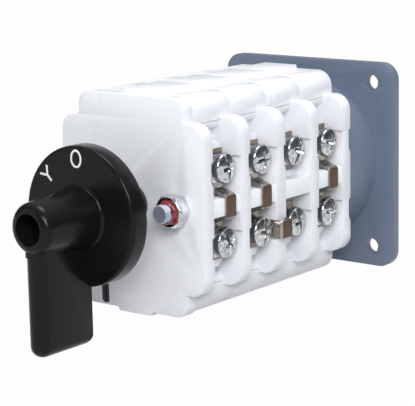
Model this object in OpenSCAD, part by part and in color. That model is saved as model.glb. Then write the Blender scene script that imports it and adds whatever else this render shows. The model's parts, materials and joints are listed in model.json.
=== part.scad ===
// Star-delta cam switch: four contact chambers stacked on one square spindle, clamped between a
// front cover and a base plate by two tie bolts, and turned by a lever knob.
// X is to the right seen from the knob, Z is up and Y points back into the mounting panel.
// The origin is the centre of the base plate's back face.

/* [Base plate] */
// How far the square base plate reaches beyond the raised pads of the housing
plate_margin = 0.1; // [0.1:0.1:6]
// Thickness of the base plate
plate_t = 2.8; // [2.4:0.2:4]
// Corner radius of the base plate
plate_corner_r = 5; // [3:0.5:8]
// Distance between the mounting holes across the plate, centre to centre
plate_hole_pitch_x = 44.8; // [44:0.2:47]
// Distance between the mounting holes up the plate, centre to centre
plate_hole_pitch_z = 48.4; // [46:0.2:49]
// Diameter of a mounting hole
plate_hole_d = 4.4; // [4:0.1:5.4]
// Diameter of the round indexing housing on the base plate
boss_d = 48; // [46.4:0.4:50]
// Length of the indexing housing in front of the plate
boss_len = 13.6; // [13.2:0.2:18]

/* [Housing] */
// Width of the housing between the terminal barriers
body_w = 35.6; // [35.2:0.2:38]
// Height of the housing
body_h = 57.8; // [57.4:0.2:62]
// Radius of the housing's long edges
body_r = 4.5; // [2:0.5:5]
// Width across the barrier wings
wing_w = 48.2; // [47.8:0.2:52]
// Height of the barrier wings
wing_h = 45.2; // [44.8:0.2:48]
// Radius of the wing corners
wing_r = 4.6; // [2:0.2:6]
// Width of the raised pad on the top and bottom of the housing
pad_w = 11; // [8:0.5:16]
// Height of the raised pad
pad_h = 1; // [0.4:0.05:1.6]
// Thickness of the front cover
cover_t = 4.4; // [4:0.2:7]
// Radius of the front cover's corners
cover_r = 3.4; // [2:0.2:4.4]
// Thickness of each barrier wall
barrier_t = 4.4; // [4:0.2:7]
// Open length of a terminal recess between two barriers
recess_len = 11.4; // [11.2:0.1:14]

/* [Terminals] */
// Height of a terminal screw above or below the spindle axis
terminal_z = 9.9; // [9.7:0.1:10]
// Distance of a terminal screw behind the front of its recess
terminal_back = 6.9; // [6.4:0.1:7]
// Diameter of a terminal screw's head
screw_head_d = 8; // [7.6:0.1:8.2]
// Height of a terminal screw's head
screw_head_h = 2.9; // [2.4:0.1:3.2]
// Width of a terminal strip
strip_w = 6; // [5:0.2:6.2]
// Thickness of a terminal strip
strip_t = 1; // [0.8:0.1:1.1]
// Width of a strap that joins two terminals of one chamber
strap_w = 4; // [3.4:0.2:4.4]
// Width of the strap that joins two chambers
cross_w = 4.8; // [4:0.2:5]
// Thickness of a strap, and of a clamp washer
strap_t = 0.9; // [0.7:0.1:1]

/* [Tie bolts] */
// Distance of a tie bolt from the spindle axis
tie_x = 15.4; // [15.3:0.1:15.6]
// Diameter of a tie bolt
tie_d = 5; // [4:0.1:5.1]
// Width of a tie nut across its flats
nut_af = 8; // [7.6:0.1:8.6]
// Height of a tie nut
nut_h = 4; // [3:0.2:5]
// Length of bolt that stands out of its nut
tie_end = 3.2; // [1:0.2:5]

/* [Knob] */
// Gap between the front cover and the back of the knob's disc
knob_gap = 15.5; // [14:0.5:24]
// Diameter of the knob's disc
disc_d = 36.6; // [34:0.2:44]
// Thickness of the knob's disc
disc_t = 5.1; // [4:0.1:7]
// Length of the hub in front of the disc
hub_len = 18.7; // [17:0.1:26]
// Diameter of the hub at the disc
hub_base_d = 15.8; // [15:0.2:20]
// Diameter of the hub just behind its rounded end
hub_end_d = 13.4; // [12.8:0.2:15]
// Diameter of the bore in the hub's end
hub_bore_d = 8.2; // [7.6:0.2:9]
// Reach of the lever below the spindle axis
lever_reach = 33.2; // [30:0.2:50]
// Thickness of the lever
lever_t = 6; // [5:0.2:8]

/* [Mechanism] */
// Width of the square spindle
spindle_af = 6.5; // [6:0.1:6.8]
// Radius of a cam where it holds its contact open
cam_open_r = 10; // [9.6:0.1:10.2]
// Stroke of a moving contact
contact_stroke = 3; // [2:0.1:3.1]
// Thickness of a cam
cam_t = 6.4; // [5:0.2:6.6]
// Radius of a cam's hub, which runs in the barrier wall
cam_hub_r = 5.2; // [5:0.1:5.4]
// Radius of the indexing wheel at its teeth
index_tip_r = 9; // [8.4:0.1:9.4]
// Depth of a notch in the indexing wheel
index_notch = 1.2; // [0.8:0.1:1.4]
// Angle between two switch positions
step_angle = 45; // [30, 45]

/* [Hidden] */
$fn = 64;

// One overrun for every cut, and the clearances of the fits
overrun = 1;
running_gap = 0.1;
seat_gap = 0.05;
slide_gap = 0.2;
bolt_gap = 0.15;

// The base plate's side
plate_size = body_h + 2 * (pad_h + plate_margin);

// Places along the stack, from the panel to the knob
chamber_count = 4;
chamber_pitch = recess_len + barrier_t;
boss_front_y = -plate_t - boss_len;
cover_rear_y = boss_front_y - chamber_count * chamber_pitch;
cover_front_y = cover_rear_y - cover_t;
disc_back_y = cover_front_y - knob_gap;
disc_front_y = disc_back_y - disc_t;
hub_end_y = disc_front_y - hub_len;

// Terminal recess, seen along the stack
recess_depth = 2.6;
recess_half_h = 21.8;
recess_floor_x = body_w / 2 - recess_depth;
roll_groove_h = 0.35;
roll_groove_depth = 0.5;
partition_half_h = 2.3;
partition_inset = 0.5;
strapless_chamber = 3;
partition_x = wing_w / 2 - partition_inset;
bolt_wall = 1.1;
bolt_hole_r = tie_d / 2 + bolt_gap;
partition_root_x = tie_x + bolt_hole_r + bolt_wall / 2;

// Snap notches in the faces of the barriers
notch_z = 10;
notch_h = 5.2;
notch_depth = 0.8;
notch_slope = 1.4;
notch_low_z = notch_h / 2 + notch_slope;

// Sides of the raised pads, and the blind slots beside them
pad_slope = 0.3;
bottom_only = [-1];
both_sides = [-1, 1];
blind_slot_x = 10;
blind_slot_w = 3.6;
blind_slot_len = 1.6;
blind_slot_depth = 1.2;

// Terminals
strip_foot = 5.2;
strip_low_z = terminal_z - strip_foot;
strip_rise = 4.8;
strip_top_z = terminal_z + strip_rise;
seat_set_back = 5.8;
seat_x = wing_w / 2 - seat_set_back;
strip_x = seat_x + strip_t;
seat_side = 0.3;
seat_cap_r = 2.6;
seat_cap_low = 0.5;
washer_w = 7.2;
washer_fold = 1;
screw_d = 4;
screw_len = 7.6;
washer_x = strip_x + strap_t;
head_seat_x = washer_x + strap_t;
head_crown_h = 1;
slot_w = 0.9;
slot_depth = 1.1;
cross_slot_len = 4.4;
screw_end_x = head_seat_x - screw_len;
screw_hole_extra = 0.3;

// Moving contacts, measured out from the spindle axis
cam_closed_r = cam_open_r - contact_stroke;
lifter_low_z = cam_open_r + running_gap;
lifter_nose_r = 2;
lifter_half_w = 3.2;
lifter_end_gap = 0.3;
lifter_depth = recess_len - 2 * lifter_end_gap;
pin_r = 1.2;
pin_len = 3.2;
button_r = 1.6;
button_h = 0.8;
bridge_t = 1.2;
bridge_half_len = 9.8;
bridge_w = 4.4;
button_x = 7.9;
strip_inner_x = 6.2;
contact_gap = 0.1;
fixed_top_z = strip_top_z + button_h;
bridge_low_z = fixed_top_z + contact_gap + contact_stroke + button_h;
bridge_top_z = bridge_low_z + bridge_t;
cam_pocket_r = cam_open_r + 1;
room_half_w = 11.5;
room_wall = 2.2;
room_top_z = body_h / 2 - room_wall;
room_low_z = strip_top_z - strip_t - seat_gap;
guide_half_w = lifter_half_w + slide_gap;
cam_hold_angle = 8;
cam_step_angle = 4;
travel_angle = 2 * step_angle;

// Springs
spring_wire_r = 0.28;
spring_mean_r = 2.4;
contact_spring_turns = 5;
index_spring_turns = 5;
spring_steps = 10;
spring_sides = 6;

// Indexing housing
index_wheel_t = 6;
index_wheel_front = 1.2;
index_room_r = index_tip_r + 1;
index_room_depth = 9;
index_slot_half_w = 3;
index_slot_end_r = boss_d / 2 - 2.6;
index_plunger_len = 6;
index_plunger_depth = 5;
index_plunger_half_w = index_slot_half_w - slide_gap;
index_nose_r = 2;
index_clear = 0.2;
index_stroke = index_notch + index_clear - running_gap;
index_low_z = index_tip_r + index_clear;
index_spring_low_z = index_low_z + index_plunger_len + seat_gap;
index_angle_step = 3;
journal_r = 3;
journal_len = 3.4;
bolt_head_r = 4.5;
bolt_head_h = 3.4;
bolt_head_pocket = 3.8;
bolt_pocket_gap = 0.5;

// Finger on the spindle, between the cover and the knob
lock_ring_r = 6.2;
lock_ring_t = 2.2;
lock_finger_w = 1.6;
lock_finger_t = 1.2;
lock_finger_x = 0.35;
lock_finger_reach = 24.1;
lock_finger_gap = 3.1;
lock_finger_y = disc_back_y + lock_finger_gap;
lock_tip_flat = 0.4;
lock_tip_r = lock_finger_w - lock_tip_flat;

// Knob
disc_edge_r = 0.9;
hub_fillet = 0.9;
hub_lip = 0.1;
hub_end_round = (hub_end_d - hub_bore_d) / 2 - hub_lip;
socket_depth = 9;
socket_gap = 0.1;
web_t = 2.5;
knob_screw_head_r = 3.4;
knob_screw_head_h = 2.4;
knob_screw_d = 4;
knob_screw_len = 9;
lever_back = 0.6;
lever_set_back = 0.7;
lever_front_r = 2.2;
lever_rear_r = 2.8;
lever_edge_r = 2;
lever_end_r = 1.8;
lever_front_y = hub_end_y + lever_set_back;
lever_w = hub_len + lever_back - lever_set_back;

// Straps
strap_out_x = partition_x + running_gap + strap_t;
strap_half_h = partition_half_h + strap_t + running_gap;
strap_tab_low = 3.6;
strap_bend = 0.7;
eye_r = 3;
cross_gap = 1.4;
cross_out_x = wing_w / 2 + cross_gap + strap_t;
cross_bend = 0.8;

// Extrudes an outline drawn in X and Z, from front_y back along Y
module prism(front_y, length)
    translate([0, front_y + length, 0])
        rotate([90, 0, 0])
            linear_extrude(length)
                children();

// Extrudes an outline drawn in Y and Z, evenly about X = 0
module side_prism(width)
    translate([-width / 2, 0, 0])
        rotate([90, 0, 90])
            linear_extrude(width)
                children();

// Turns a profile drawn as radius and depth about a line along Y, from front_y back
module turned(front_y)
    translate([0, front_y, 0])
        rotate([-90, 0, 0])
            rotate_extrude()
                children();

module rounded_square(width, height, radius) {
    square([width - 2 * radius, height], center = true);
    square([width, height - 2 * radius], center = true);
    for (side = [-1, 1])
        for (end = [-1, 1])
            translate([side * (width / 2 - radius), end * (height / 2 - radius)])
                circle(radius);
}

// Outline of the housing without the wings, with a raised pad at each end named in pad_ends
module body_outline(corner_r, pad_ends) {
    rounded_square(body_w, body_h, corner_r);
    for (end = pad_ends)
        polygon([
            [pad_w / 2, end * (body_h / 2 + pad_h)],
            [pad_w / 2 + pad_slope, end * body_h / 2],
            [pad_w / 2 + pad_slope, 0],
            [-pad_w / 2 - pad_slope, 0],
            [-pad_w / 2 - pad_slope, end * body_h / 2],
            [-pad_w / 2, end * (body_h / 2 + pad_h)]
        ]);
}

// A barrier wall: the housing and its two wings
module barrier(front_y, length, corner_r, pad_ends)
    prism(front_y, length) {
        body_outline(corner_r, pad_ends);
        rounded_square(wing_w, wing_h, wing_r);
    }

// Outline of the housing beside the terminals, with its rounded rolls, partitions and bolt walls
module recess_outline(wall_x) {
    difference() {
        body_outline(body_r, both_sides);
        for (side = [-1, 1])
            translate([side * (recess_floor_x + body_w / 2), 0])
                square([body_w, 2 * recess_half_h], center = true);
    }
    for (side = [-1, 1])
        for (end = [-1, 1])
            difference() {
                translate([side * recess_floor_x, end * recess_half_h])
                    circle(recess_depth);
                translate([
                    side * (recess_floor_x + recess_depth),
                    end * (recess_half_h - roll_groove_h / 2)
                ])
                    square([2 * roll_groove_depth, roll_groove_h], center = true);
            }
    square([2 * wall_x, 2 * partition_half_h], center = true);
    square([2 * partition_root_x, 2 * (bolt_hole_r + bolt_wall)], center = true);
}

module bolt_holes()
    for (side = [-1, 1])
        translate([side * tie_x, 0])
            circle(bolt_hole_r);

// A snap notch across both wings, cut into a barrier face that looks along facing
module snap_notches(face_y, facing)
    for (side = [-1, 1])
        for (end = [-1, 1])
            translate([side * (recess_floor_x + wing_w / 2), face_y, end * notch_z])
                side_prism(wing_w)
                    polygon([
                        [facing * overrun, notch_h / 2],
                        [-facing * notch_depth, notch_h / 2],
                        [-facing * notch_depth, -notch_h / 2],
                        [0, -notch_low_z],
                        [facing * overrun, -notch_low_z]
                    ]);

// Places its children at the four terminals of a chamber, mirrored into each quarter
module each_terminal(front_y)
    for (side = [0, 1])
        for (end = [0, 1])
            mirror([side, 0, 0])
                mirror([0, 0, end])
                    translate([0, front_y + terminal_back, 0])
                        children();

function chamber_front_y(number) = cover_rear_y + (number - 1) * chamber_pitch;

// The four blind slots in the top and bottom of a chamber
module blind_slots(number)
    for (side = [-1, 1])
        for (end = [-1, 1])
            translate([
                side * blind_slot_x,
                chamber_front_y(number) + terminal_back,
                end * (body_h + blind_slot_depth) / 2
            ])
                cube([blind_slot_w, blind_slot_len, 3 * blind_slot_depth], center = true);

// The raised seat behind one terminal strip, with its rounded cap
module terminal_seat() {
    seat_w = strip_w + 2 * seat_side;
    cap_z = strip_top_z - seat_cap_low;
    translate([recess_floor_x - overrun, -seat_w / 2, strip_low_z - seat_side])
        cube([seat_x - recess_floor_x + overrun, seat_w, cap_z - strip_low_z + seat_side]);
    intersection() {
        translate([recess_floor_x - overrun, 0, cap_z])
            rotate([0, 90, 0])
                cylinder(r = seat_cap_r, h = strip_x - recess_floor_x + overrun);
        translate([recess_floor_x - overrun, -seat_w / 2, strip_top_z + seat_gap])
            cube([strip_x, seat_w, seat_cap_r]);
    }
}

// The room cut for one strip, its screw and the rounded foot of the strip
module terminal_room() {
    cut_w = strip_w + 2 * seat_gap;
    translate([room_half_w - overrun, -cut_w / 2, strip_top_z - strip_t - seat_gap])
        cube([strip_x + seat_gap - room_half_w + overrun, cut_w, strip_t + 2 * seat_gap]);
    translate([screw_end_x - screw_hole_extra, 0, terminal_z])
        rotate([0, 90, 0])
            cylinder(d = screw_d + 2 * seat_gap, h = seat_x);
}

module chamber(number) {
    front_y = chamber_front_y(number);
    color("whitesmoke")
    difference() {
        union() {
            prism(front_y, recess_len)
                recess_outline(number == strapless_chamber ? wing_w / 2 : partition_x);
            barrier(front_y + recess_len, barrier_t, body_r, both_sides);
            each_terminal(front_y)
                terminal_seat();
        }
        prism(front_y - overrun, recess_len + overrun) {
            circle(cam_pocket_r);
            for (end = [-1, 1]) {
                translate([0, end * (room_low_z + room_top_z) / 2])
                    square([2 * room_half_w, room_top_z - room_low_z], center = true);
                translate([0, end * room_low_z / 2])
                    square([2 * guide_half_w, room_low_z + overrun], center = true);
            }
        }
        prism(front_y - overrun, chamber_pitch + 2 * overrun) {
            circle(cam_hub_r + running_gap);
            bolt_holes();
        }
        each_terminal(front_y)
            terminal_room();
        blind_slots(number);
        snap_notches(front_y + recess_len, -1);
        snap_notches(front_y + chamber_pitch, 1);
    }
}

module front_cover() {
    color("whitesmoke")
    difference() {
        barrier(cover_front_y, cover_t, cover_r, bottom_only);
        prism(cover_front_y - overrun, cover_t + 2 * overrun) {
            circle(cam_hub_r + running_gap);
            bolt_holes();
        }
        snap_notches(cover_rear_y, 1);
    }
}

module base_plate() {
    floor_y = boss_front_y + index_room_depth;
    color("slategray")
    difference() {
        union() {
            prism(-plate_t, plate_t)
                rounded_square(plate_size, plate_size, plate_corner_r);
            prism(boss_front_y, boss_len)
                circle(d = boss_d);
        }
        for (side = [-1, 1])
            for (end = [-1, 1])
                prism(-plate_t - overrun, plate_t + 2 * overrun)
                    translate([side * plate_hole_pitch_x / 2, end * plate_hole_pitch_z / 2])
                        circle(d = plate_hole_d);
        prism(boss_front_y - overrun, index_room_depth + overrun) {
            circle(index_room_r);
            square([2 * index_slot_half_w, 2 * index_slot_end_r], center = true);
        }
        prism(floor_y - overrun, journal_len + running_gap + overrun)
            circle(journal_r + running_gap);
        prism(boss_front_y - overrun, boss_len + plate_t + 2 * overrun)
            bolt_holes();
        for (side = [-1, 1])
            prism(-bolt_head_pocket, bolt_head_pocket + overrun)
                translate([side * tie_x, 0])
                    circle(bolt_head_r + bolt_pocket_gap);
    }
}

module spindle_section()
    square([spindle_af, spindle_af], center = true);

module spindle() {
    front_y = disc_back_y - socket_depth + socket_gap;
    rear_y = boss_front_y + index_wheel_front + index_wheel_t;
    journal_end_y = boss_front_y + index_room_depth + journal_len;
    color("silver")
    difference() {
        union() {
            prism(front_y, rear_y - front_y)
                spindle_section();
            prism(cover_front_y, cover_t - seat_gap)
                circle(cam_hub_r);
            prism(rear_y - overrun, journal_end_y - rear_y + overrun)
                circle(journal_r);
        }
        prism(front_y - overrun, knob_screw_len - web_t + socket_gap + 2 * overrun)
            circle(knob_screw_d / 2 + seat_gap);
    }
}

// Radius of a cam at an angle counted against the knob's turning, seen from the knob
function blend_radius(from_r, to_r, share) = from_r + (to_r - from_r) * min(max(share, 0), 1);
function return_angle() = 180 - travel_angle - 2 * cam_hold_angle;
function line_cam_radius(angle) =
    let (turn = (angle + 360 + cam_hold_angle) % 180 - cam_hold_angle)
    turn <= travel_angle + cam_hold_angle
        ? blend_radius(cam_open_r, cam_closed_r, turn / travel_angle)
        : blend_radius(
            cam_closed_r, cam_open_r,
            (turn - travel_angle - cam_hold_angle) / return_angle()
        );
function star_cam_radius(angle) =
    let (turn = (angle + 360) % 180)
    turn <= step_angle
        ? blend_radius(cam_open_r, cam_closed_r, turn / step_angle)
        : blend_radius(cam_closed_r, cam_open_r, (turn - step_angle) / step_angle);

module cam_outline(is_star)
    polygon([
        for (angle = [0 : cam_step_angle : 360 - cam_step_angle])
            let (radius = is_star ? star_cam_radius(angle) : line_cam_radius(angle))
            [-radius * sin(angle), radius * cos(angle)]
    ]);

module cam(number, is_star) {
    front_y = chamber_front_y(number);
    color("burlywood")
    difference() {
        union() {
            prism(front_y + terminal_back - cam_t / 2, cam_t)
                cam_outline(is_star);
            prism(front_y + seat_gap, chamber_pitch - 2 * seat_gap)
                circle(cam_hub_r);
        }
        prism(front_y - overrun, chamber_pitch + 2 * overrun)
            square(spindle_af + 2 * seat_gap, center = true);
    }
}

module index_wheel() {
    color("burlywood")
    prism(boss_front_y + index_wheel_front, index_wheel_t)
        difference() {
            polygon([
                for (angle = [0 : index_angle_step : 360 - index_angle_step])
                    let (
                        notches = 360 / step_angle,
                        radius = index_tip_r - index_notch * (1 + cos(notches * angle)) / 2
                    )
                    [radius * sin(angle), radius * cos(angle)]
            ]);
            square(spindle_af + 2 * seat_gap, center = true);
        }
}

// One indexing plunger above the wheel, its nose towards the spindle
module index_plunger() {
    centre_y = boss_front_y + index_wheel_front + index_wheel_t / 2;
    color("dimgray")
    prism(centre_y - index_plunger_depth / 2, index_plunger_depth) {
        translate([0, index_low_z + index_nose_r])
            circle(index_nose_r);
        translate([-index_plunger_half_w, index_low_z + index_nose_r])
            square([2 * index_plunger_half_w, index_plunger_len - index_nose_r]);
    }
}

module index_plunger_top()
    index_plunger();

module index_plunger_bottom()
    mirror([0, 0, 1])
        index_plunger();

// One unbroken compression spring standing on Z = 0, as a tube of flat-sided wire
module coil_spring(length, turns) {
    climb = (length - 2 * spring_wire_r) / turns;
    steps = turns * spring_steps;
    rings = [
        for (step = [0 : steps])
            let (turn_angle = 360 * step / spring_steps)
            [
                for (side = [0 : spring_sides - 1])
                    let (
                        side_angle = 360 * side / spring_sides,
                        reach = spring_mean_r + spring_wire_r * cos(side_angle),
                        height = spring_wire_r + climb * step / spring_steps
                    )
                    [
                        reach * cos(turn_angle),
                        reach * sin(turn_angle),
                        height + spring_wire_r * sin(side_angle)
                    ]
            ]
    ];
    points = [for (ring = rings) each ring];
    walls = [
        for (step = [0 : steps - 1])
            for (side = [0 : spring_sides - 1])
                let (
                    next_side = (side + 1) % spring_sides,
                    near = step * spring_sides,
                    far = near + spring_sides
                )
                each [
                    [near + side, far + side, far + next_side],
                    [near + side, far + next_side, near + next_side]
                ]
    ];
    start_cap = [for (side = [1 : spring_sides - 2]) [0, side, side + 1]];
    last = steps * spring_sides;
    end_cap = [for (side = [1 : spring_sides - 2]) [last, last + side + 1, last + side]];
    polyhedron(points = points, faces = concat(walls, start_cap, end_cap));
}

module index_spring() {
    centre_y = boss_front_y + index_wheel_front + index_wheel_t / 2;
    color("silver")
    translate([0, centre_y, index_spring_low_z])
        coil_spring(index_slot_end_r - index_spring_low_z - seat_gap, index_spring_turns);
}

// One lifter above the cam of a chamber, its nose on the cam and its pin through the bridge
module lifter(number) {
    centre_y = chamber_front_y(number) + terminal_back;
    color("darkslategray") {
        prism(chamber_front_y(number) + lifter_end_gap, lifter_depth) {
            translate([0, lifter_low_z + lifter_nose_r])
                circle(lifter_nose_r);
            translate([-lifter_half_w, lifter_low_z + lifter_nose_r])
                square([2 * lifter_half_w, bridge_low_z - lifter_low_z - lifter_nose_r]);
        }
        translate([0, centre_y, bridge_low_z - overrun])
            cylinder(r = pin_r, h = pin_len + overrun);
    }
}

// One bridge bar above its lifter, with the two contact buttons under its ends
module bridge(number) {
    centre_y = chamber_front_y(number) + terminal_back;
    color("peru")
    translate([0, centre_y, 0]) {
        difference() {
            translate([-bridge_half_len, -bridge_w / 2, bridge_low_z])
                cube([2 * bridge_half_len, bridge_w, bridge_t]);
            translate([0, 0, bridge_low_z - overrun])
                cylinder(r = pin_r + slide_gap, h = bridge_t + 2 * overrun);
        }
        for (side = [-1, 1])
            translate([side * button_x, 0, bridge_low_z - button_h])
                cylinder(r = button_r, h = button_h);
    }
}

module both_ends()
    for (end = [0, 1])
        mirror([0, 0, end])
            children();

// One spring between a bridge and the roof of its chamber
module contact_spring(number) {
    centre_y = chamber_front_y(number) + terminal_back;
    color("silver")
    translate([0, centre_y, bridge_top_z + seat_gap])
        coil_spring(room_top_z - bridge_top_z - 2 * seat_gap, contact_spring_turns);
}

// The four terminal strips of a chamber, each bent in over its seat to a contact button
module terminal_strips(number) {
    color("tan")
    each_terminal(chamber_front_y(number)) {
        difference() {
            union() {
                translate([seat_x, -strip_w / 2, strip_low_z])
                    cube([strip_t, strip_w, strip_top_z - strip_low_z]);
                translate([strip_inner_x, -strip_w / 2, strip_top_z - strip_t])
                    cube([strip_x - strip_inner_x, strip_w, strip_t]);
            }
            translate([seat_x - overrun, 0, terminal_z])
                rotate([0, 90, 0])
                    cylinder(d = screw_d + 2 * seat_gap, h = strip_t + 2 * overrun);
        }
        translate([button_x, 0, strip_top_z])
            cylinder(r = button_r, h = button_h);
    }
}

// The four terminal screws of a chamber, with domed heads cut for a blade or a cross driver
module terminal_screws(number) {
    head_r = screw_head_d / 2;
    dome_r = (head_r * head_r + head_crown_h * head_crown_h) / (2 * head_crown_h);
    head_top_x = head_seat_x + screw_head_h;
    color("gainsboro")
    each_terminal(chamber_front_y(number))
        translate([0, 0, terminal_z])
            difference() {
                rotate([0, 90, 0]) {
                    intersection() {
                        translate([0, 0, head_top_x - dome_r])
                            sphere(dome_r);
                        translate([0, 0, head_seat_x])
                            cylinder(r = head_r, h = screw_head_h);
                    }
                    translate([0, 0, screw_end_x])
                        cylinder(d = screw_d, h = screw_len + overrun);
                }
                translate([head_top_x - slot_depth, -slot_w / 2, -screw_head_d])
                    cube([screw_head_h, slot_w, 2 * screw_head_d]);
                translate([head_top_x - slot_depth, -cross_slot_len / 2, -slot_w / 2])
                    cube([screw_head_h, cross_slot_len, slot_w]);
            }
}

// One square clamp washer, its two edges folded down beside the strip
module clamp_washer(seat_x) {
    difference() {
        union() {
            translate([seat_x, -washer_w / 2, terminal_z - washer_w / 2])
                cube([strap_t, washer_w, washer_w]);
            for (side = [-1, 1])
                translate([
                    seat_x - washer_fold / 2,
                    side * (washer_w - washer_fold / 2) / 2 - washer_fold / 4,
                    terminal_z - washer_w / 2
                ])
                    cube([strap_t, washer_fold / 2, washer_w]);
        }
        translate([seat_x - overrun, 0, terminal_z])
            rotate([0, 90, 0])
                cylinder(d = screw_d + 2 * slide_gap, h = strap_t + 2 * overrun);
    }
}

// The clamp washers of a chamber; the lower right one lies as asked, or is left out at zero
module clamp_washers(number, lower_right_x) {
    color("silver")
    for (side = [0, 1])
        for (end = [0, 1])
            mirror([side, 0, 0])
                mirror([0, 0, end])
                    translate([0, chamber_front_y(number) + terminal_back, 0])
                        if (side == 1 || end == 0)
                            clamp_washer(washer_x);
                        else if (lower_right_x > 0)
                            clamp_washer(lower_right_x);
}

// Half of the outline of a strap that wraps the partition, drawn in X and Z
module strap_half_outline() {
    polygon([
        [strip_x, terminal_z],
        [strip_x, strap_tab_low],
        [strap_out_x - strap_t, strap_half_h - strap_t],
        [strap_out_x - strap_t, -overrun],
        [strap_out_x, -overrun],
        [strap_out_x, strap_half_h - strap_bend],
        [strap_out_x - strap_bend, strap_half_h],
        [washer_x, strap_tab_low + strap_t],
        [washer_x, terminal_z]
    ]);
}

// A round eye of a strap about a terminal screw, from low_x outwards
module strap_eye(low_x, eye_y, eye_z)
    translate([low_x, eye_y, eye_z])
        rotate([0, 90, 0])
            cylinder(r = eye_r, h = strap_t);

module strap_hole(low_x, eye_y, eye_z)
    translate([low_x - overrun, eye_y, eye_z])
        rotate([0, 90, 0])
            cylinder(d = screw_d + 2 * slide_gap, h = strap_t + 2 * overrun);

// A strap that joins the upper and lower terminals on the right of a chamber
module strap(number) {
    centre_y = chamber_front_y(number) + terminal_back;
    color("rosybrown")
    difference() {
        union() {
            prism(centre_y - strap_w / 2, strap_w) {
                strap_half_outline();
                mirror([0, 1])
                    strap_half_outline();
            }
            for (end = [-1, 1])
                strap_eye(strip_x, centre_y, end * terminal_z);
        }
        for (end = [-1, 1])
            strap_hole(strip_x, centre_y, end * terminal_z);
    }
}

// The strap from the lower right terminal of chamber 2, over the barrier, to that of chamber 3
module cross_strap() {
    near_y = chamber_front_y(2) + terminal_back;
    far_y = chamber_front_y(3) + terminal_back;
    front_leg_y = chamber_front_y(2) + recess_len - strap_t / 2;
    rear_leg_y = chamber_front_y(3) + strap_t / 2;
    color("rosybrown")
    difference() {
        union() {
            translate([0, 0, -terminal_z - cross_w / 2])
                linear_extrude(cross_w)
                    polygon([
                        [washer_x, near_y],
                        [head_seat_x, near_y],
                        [head_seat_x, front_leg_y],
                        [cross_out_x - cross_bend, front_leg_y],
                        [cross_out_x, front_leg_y + cross_bend],
                        [cross_out_x, rear_leg_y - cross_bend],
                        [cross_out_x - cross_bend, rear_leg_y],
                        [head_seat_x, rear_leg_y],
                        [head_seat_x, far_y],
                        [washer_x, far_y],
                        [washer_x, rear_leg_y - strap_t],
                        [cross_out_x - strap_t, rear_leg_y - strap_t],
                        [cross_out_x - strap_t, front_leg_y + strap_t],
                        [washer_x, front_leg_y + strap_t]
                    ]);
            for (eye_y = [near_y, far_y])
                strap_eye(washer_x, eye_y, -terminal_z);
        }
        for (eye_y = [near_y, far_y])
            strap_hole(washer_x, eye_y, -terminal_z);
    }
}

module tie_bolts() {
    color("silver")
    for (side = [-1, 1])
        translate([side * tie_x, 0, 0]) {
            prism(cover_front_y - nut_h - tie_end, nut_h + tie_end - cover_front_y - bolt_head_pocket)
                circle(d = tie_d);
            prism(-bolt_head_pocket, bolt_head_h)
                circle(bolt_head_r);
        }
}

module tie_nuts() {
    color("gainsboro")
    for (side = [-1, 1])
        translate([side * tie_x, 0, 0])
            prism(cover_front_y - nut_h, nut_h)
                difference() {
                    circle(d = nut_af / cos(30), $fn = 6);
                    circle(d = tie_d + 2 * seat_gap);
                }
}

// The finger that turns with the spindle and locks the lid of an enclosure
module lock_finger() {
    color([0.12, 0.11, 0.1])
    difference() {
        union() {
            prism(lock_finger_y, lock_ring_t)
                circle(lock_ring_r);
            prism(lock_finger_y, lock_finger_t) {
                translate([lock_finger_x - lock_finger_w / 2, lock_tip_r - lock_finger_reach])
                    square([lock_finger_w, lock_finger_reach - lock_tip_r]);
                translate([
                    lock_finger_x + lock_finger_w / 2 - lock_tip_flat,
                    lock_tip_r - lock_finger_reach
                ]) {
                    translate([0, -lock_tip_r])
                        square([lock_tip_flat, lock_tip_r + overrun]);
                    intersection() {
                        circle(lock_tip_r);
                        translate([-lock_tip_r, -lock_tip_r])
                            square([lock_finger_w, lock_tip_r + overrun]);
                    }
                }
            }
        }
        prism(lock_finger_y - overrun, lock_ring_t + 2 * overrun)
            square(spindle_af + 2 * seat_gap, center = true);
    }
}

// The lever seen from the side, in Y and Z, below the spindle axis
module lever_side() {
    rear_y = disc_front_y + lever_back;
    low_z = -lever_reach;
    translate([lever_front_y + lever_front_r, low_z])
        square([lever_w - lever_front_r - lever_rear_r, lever_reach]);
    translate([lever_front_y, low_z + lever_front_r])
        square([lever_front_r + overrun, lever_reach - lever_front_r]);
    translate([lever_front_y + lever_front_r, low_z + lever_front_r])
        circle(lever_front_r);
    translate([rear_y - lever_rear_r - overrun, low_z + lever_rear_r])
        square([lever_rear_r + overrun, lever_reach - lever_rear_r]);
    translate([rear_y - lever_rear_r, low_z + lever_rear_r])
        circle(lever_rear_r);
}

// The lever seen from above, in X and Y, with its rounded front edges
module lever_plan() {
    for (side = [-1, 1])
        translate([side * (lever_t / 2 - lever_edge_r), lever_front_y + lever_edge_r])
            circle(lever_edge_r);
    translate([lever_edge_r - lever_t / 2, lever_front_y])
        square([lever_t - 2 * lever_edge_r, lever_w]);
    translate([-lever_t / 2, lever_front_y + lever_edge_r])
        square([lever_t, lever_w - lever_edge_r]);
}

// The lever seen from the front, in X and Z, with its rounded lower end
module lever_front() {
    for (side = [-1, 1])
        translate([side * (lever_t / 2 - lever_end_r), lever_end_r - lever_reach])
            circle(lever_end_r);
    translate([lever_end_r - lever_t / 2, -lever_reach])
        square([lever_t - 2 * lever_end_r, lever_reach + overrun]);
    translate([-lever_t / 2, lever_end_r - lever_reach])
        square([lever_t, lever_reach - lever_end_r + overrun]);
}

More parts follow.
